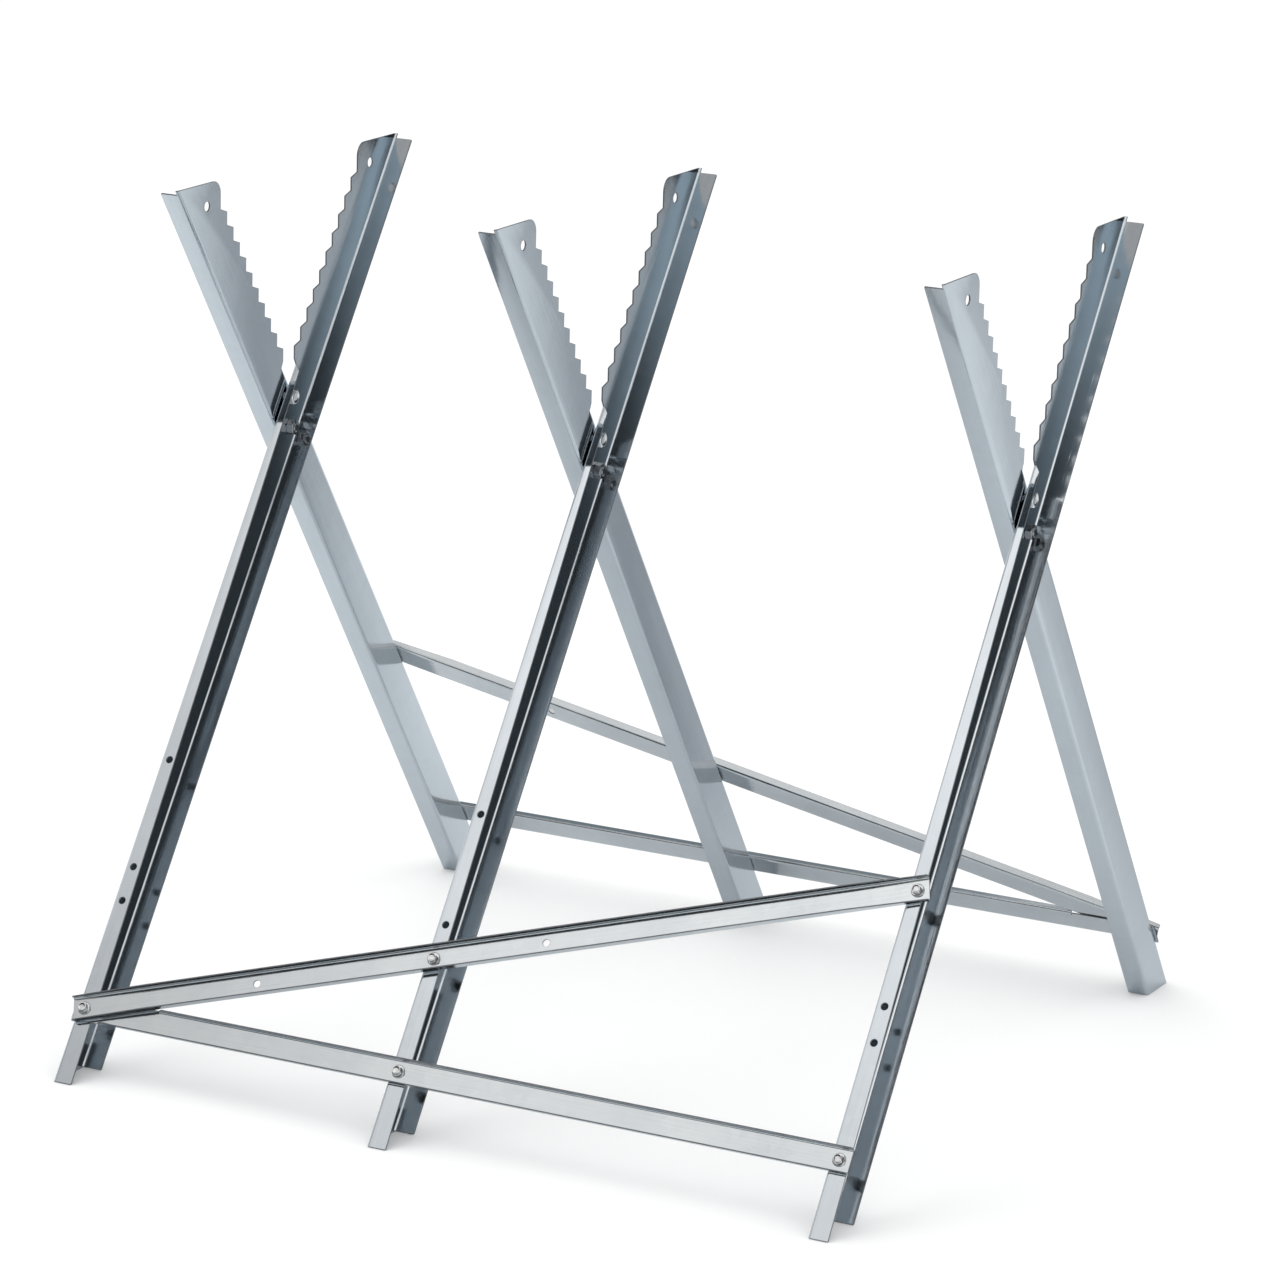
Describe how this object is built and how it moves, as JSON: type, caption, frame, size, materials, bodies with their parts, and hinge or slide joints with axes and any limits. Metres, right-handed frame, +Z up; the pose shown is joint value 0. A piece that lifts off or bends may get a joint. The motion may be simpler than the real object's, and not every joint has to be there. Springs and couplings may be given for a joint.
{
  "type": "log saw stand",
  "caption": "Folding saw stand of galvanised sheet steel: crossed legs with toothed upper edges hold a log for cutting, braces tie each side, and pivots let the frames fold flat.",
  "frame": {"origin": "on the floor, under the middle of the stand's box", "axes": "+X along the row of frames, in line with the pivots, +Y from the front frame's feet to the rear frame's feet, +Z up"},
  "size_m": [0.7842, 0.7892, 0.767],
  "materials": {
    "leg_sheet": "bright galvanised sheet",
    "brace_sheet": "bright galvanised sheet",
    "fasteners": "bright zinc plating"
  },
  "bodies": {
    "front_frame": {"front_leg_left": "leg_sheet", "front_leg_middle": "leg_sheet", "front_leg_right": "leg_sheet", "front_lower_brace": "brace_sheet", "front_diagonal_brace": "brace_sheet", "front_bolt_corner": "fasteners", "front_bolt_lower_middle": "fasteners", "front_bolt_lower_end": "fasteners", "front_bolt_diagonal_middle": "fasteners", "front_bolt_diagonal_end": "fasteners", "front_nut_corner": "fasteners", "front_nut_lower_middle": "fasteners", "front_nut_lower_end": "fasteners", "front_nut_diagonal_middle": "fasteners", "front_nut_diagonal_end": "fasteners", "pivot_bolt_left": "fasteners", "pivot_bolt_middle": "fasteners", "pivot_bolt_right": "fasteners", "pivot_nut_left": "fasteners", "pivot_nut_middle": "fasteners", "pivot_nut_right": "fasteners", "pivot_washer_left": "fasteners", "pivot_washer_middle": "fasteners", "pivot_washer_right": "fasteners", "lock_bolt_left": "fasteners", "lock_bolt_middle": "fasteners", "lock_bolt_right": "fasteners"},
    "rear_frame": {"rear_leg_left": "leg_sheet", "rear_leg_middle": "leg_sheet", "rear_leg_right": "leg_sheet", "rear_lower_brace": "brace_sheet", "rear_diagonal_brace": "brace_sheet", "rear_bolt_corner": "fasteners", "rear_bolt_lower_middle": "fasteners", "rear_bolt_lower_end": "fasteners", "rear_bolt_diagonal_middle": "fasteners", "rear_bolt_diagonal_end": "fasteners", "rear_nut_corner": "fasteners", "rear_nut_lower_middle": "fasteners", "rear_nut_lower_end": "fasteners", "rear_nut_diagonal_middle": "fasteners", "rear_nut_diagonal_end": "fasteners", "lock_nut_left": "fasteners", "lock_nut_middle": "fasteners", "lock_nut_right": "fasteners"}
  },
  "joints": [
    {"name": "fold", "type": "hinge", "parent": "front_frame", "child": "rear_frame", "pos_m": [0, 0, 0.52], "axis": [-1, 0, 0], "range_deg": [0, 70]}
  ]
}
